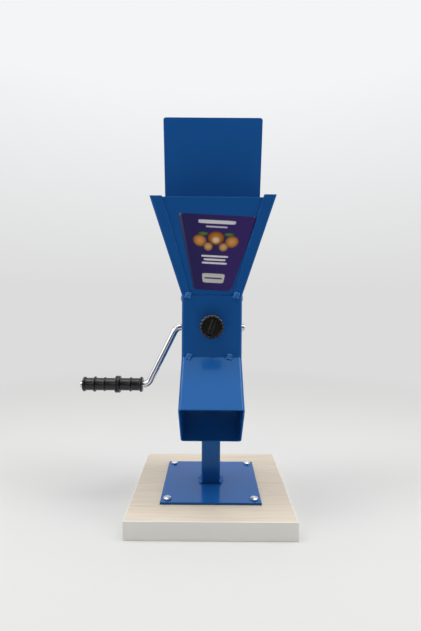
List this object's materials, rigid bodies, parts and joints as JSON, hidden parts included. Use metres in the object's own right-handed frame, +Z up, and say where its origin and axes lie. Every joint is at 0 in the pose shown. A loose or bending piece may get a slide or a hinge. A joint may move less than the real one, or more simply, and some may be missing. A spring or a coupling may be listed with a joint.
{
  "type": "crank nut cracker",
  "caption": "Hand-cranked nut cracker: flared steel hopper over a square housing with toothed roller and adjustable jaw, front chute, post on a square board.",
  "frame": {"origin": "middle of the board's underside", "axes": "+X to the right, away from the crank; +Y away from the user, chute towards -Y; +Z up"},
  "size_m": [0.289, 0.2, 0.545],
  "materials": {
    "blue_paint": "smooth gloss blue powder coat on sheet steel",
    "melamine_board": "melamine-faced chipboard with a pale wood grain",
    "edge_band": "pale plastic edge band",
    "zinc_screws": "bright zinc plate",
    "chrome_bar": "bright chrome-plated bar",
    "tool_steel": "machined steel, bare",
    "bearing_bronze": "turned bearing bronze",
    "black_grip": "satin black moulded plastic",
    "black_knob": "black moulded phenolic plastic"
  },
  "bodies": {
    "frame": {"base_board": "melamine_board", "edge_bands": "edge_band", "base_plate": "blue_paint", "base_screws": "zinc_screws", "post_tube": "blue_paint", "post_foot_weld": "blue_paint", "body_tube": "blue_paint", "chute_tube": "blue_paint", "chute_weld_tacks": "blue_paint", "hopper_left_panel": "blue_paint", "hopper_right_panel": "blue_paint", "hopper_front_panel": "blue_paint", "hopper_back_panel": "blue_paint", "hopper_weld_tacks": "blue_paint", "shaft_bush_left": "bearing_bronze", "shaft_bush_right": "bearing_bronze", "adjuster_nut": "zinc_screws", "jaw_guide_rails": "blue_paint"},
    "crank": {"crank_rod": "chrome_bar", "crushing_roller": "tool_steel", "roller_pin": "zinc_screws", "grip_retainer": "zinc_screws"},
    "grip": {"crank_grip": "black_grip"},
    "jaw": {"jaw_plate": "tool_steel"},
    "knob": {"adjuster_screw": "zinc_screws", "adjuster_knob": "black_knob"}
  },
  "joints": [
    {"name": "crank_turn", "type": "hinge", "parent": "frame", "child": "crank", "pos_m": [0, 0.033, 0.231], "axis": [1, 0, 0], "continuous": true},
    {"name": "grip_spin", "type": "hinge", "parent": "crank", "child": "grip", "pos_m": [-0.1424, 0.033, 0.1478], "axis": [1, 0, 0], "continuous": true},
    {"name": "jaw_slide", "type": "slide", "parent": "frame", "child": "jaw", "axis": [0, 1, 0], "range_m": [-0.005, 0.005]},
    {"name": "knob_turn", "type": "hinge", "parent": "jaw", "child": "knob", "pos_m": [0, -0.036, 0.238], "axis": [0, 1, 0], "range_deg": [-1440, 1440]}
  ],
  "couplings": [
    {"joint": "jaw_slide", "follows": "knob_turn", "m_per_rad": 0.00019894}
  ]
}
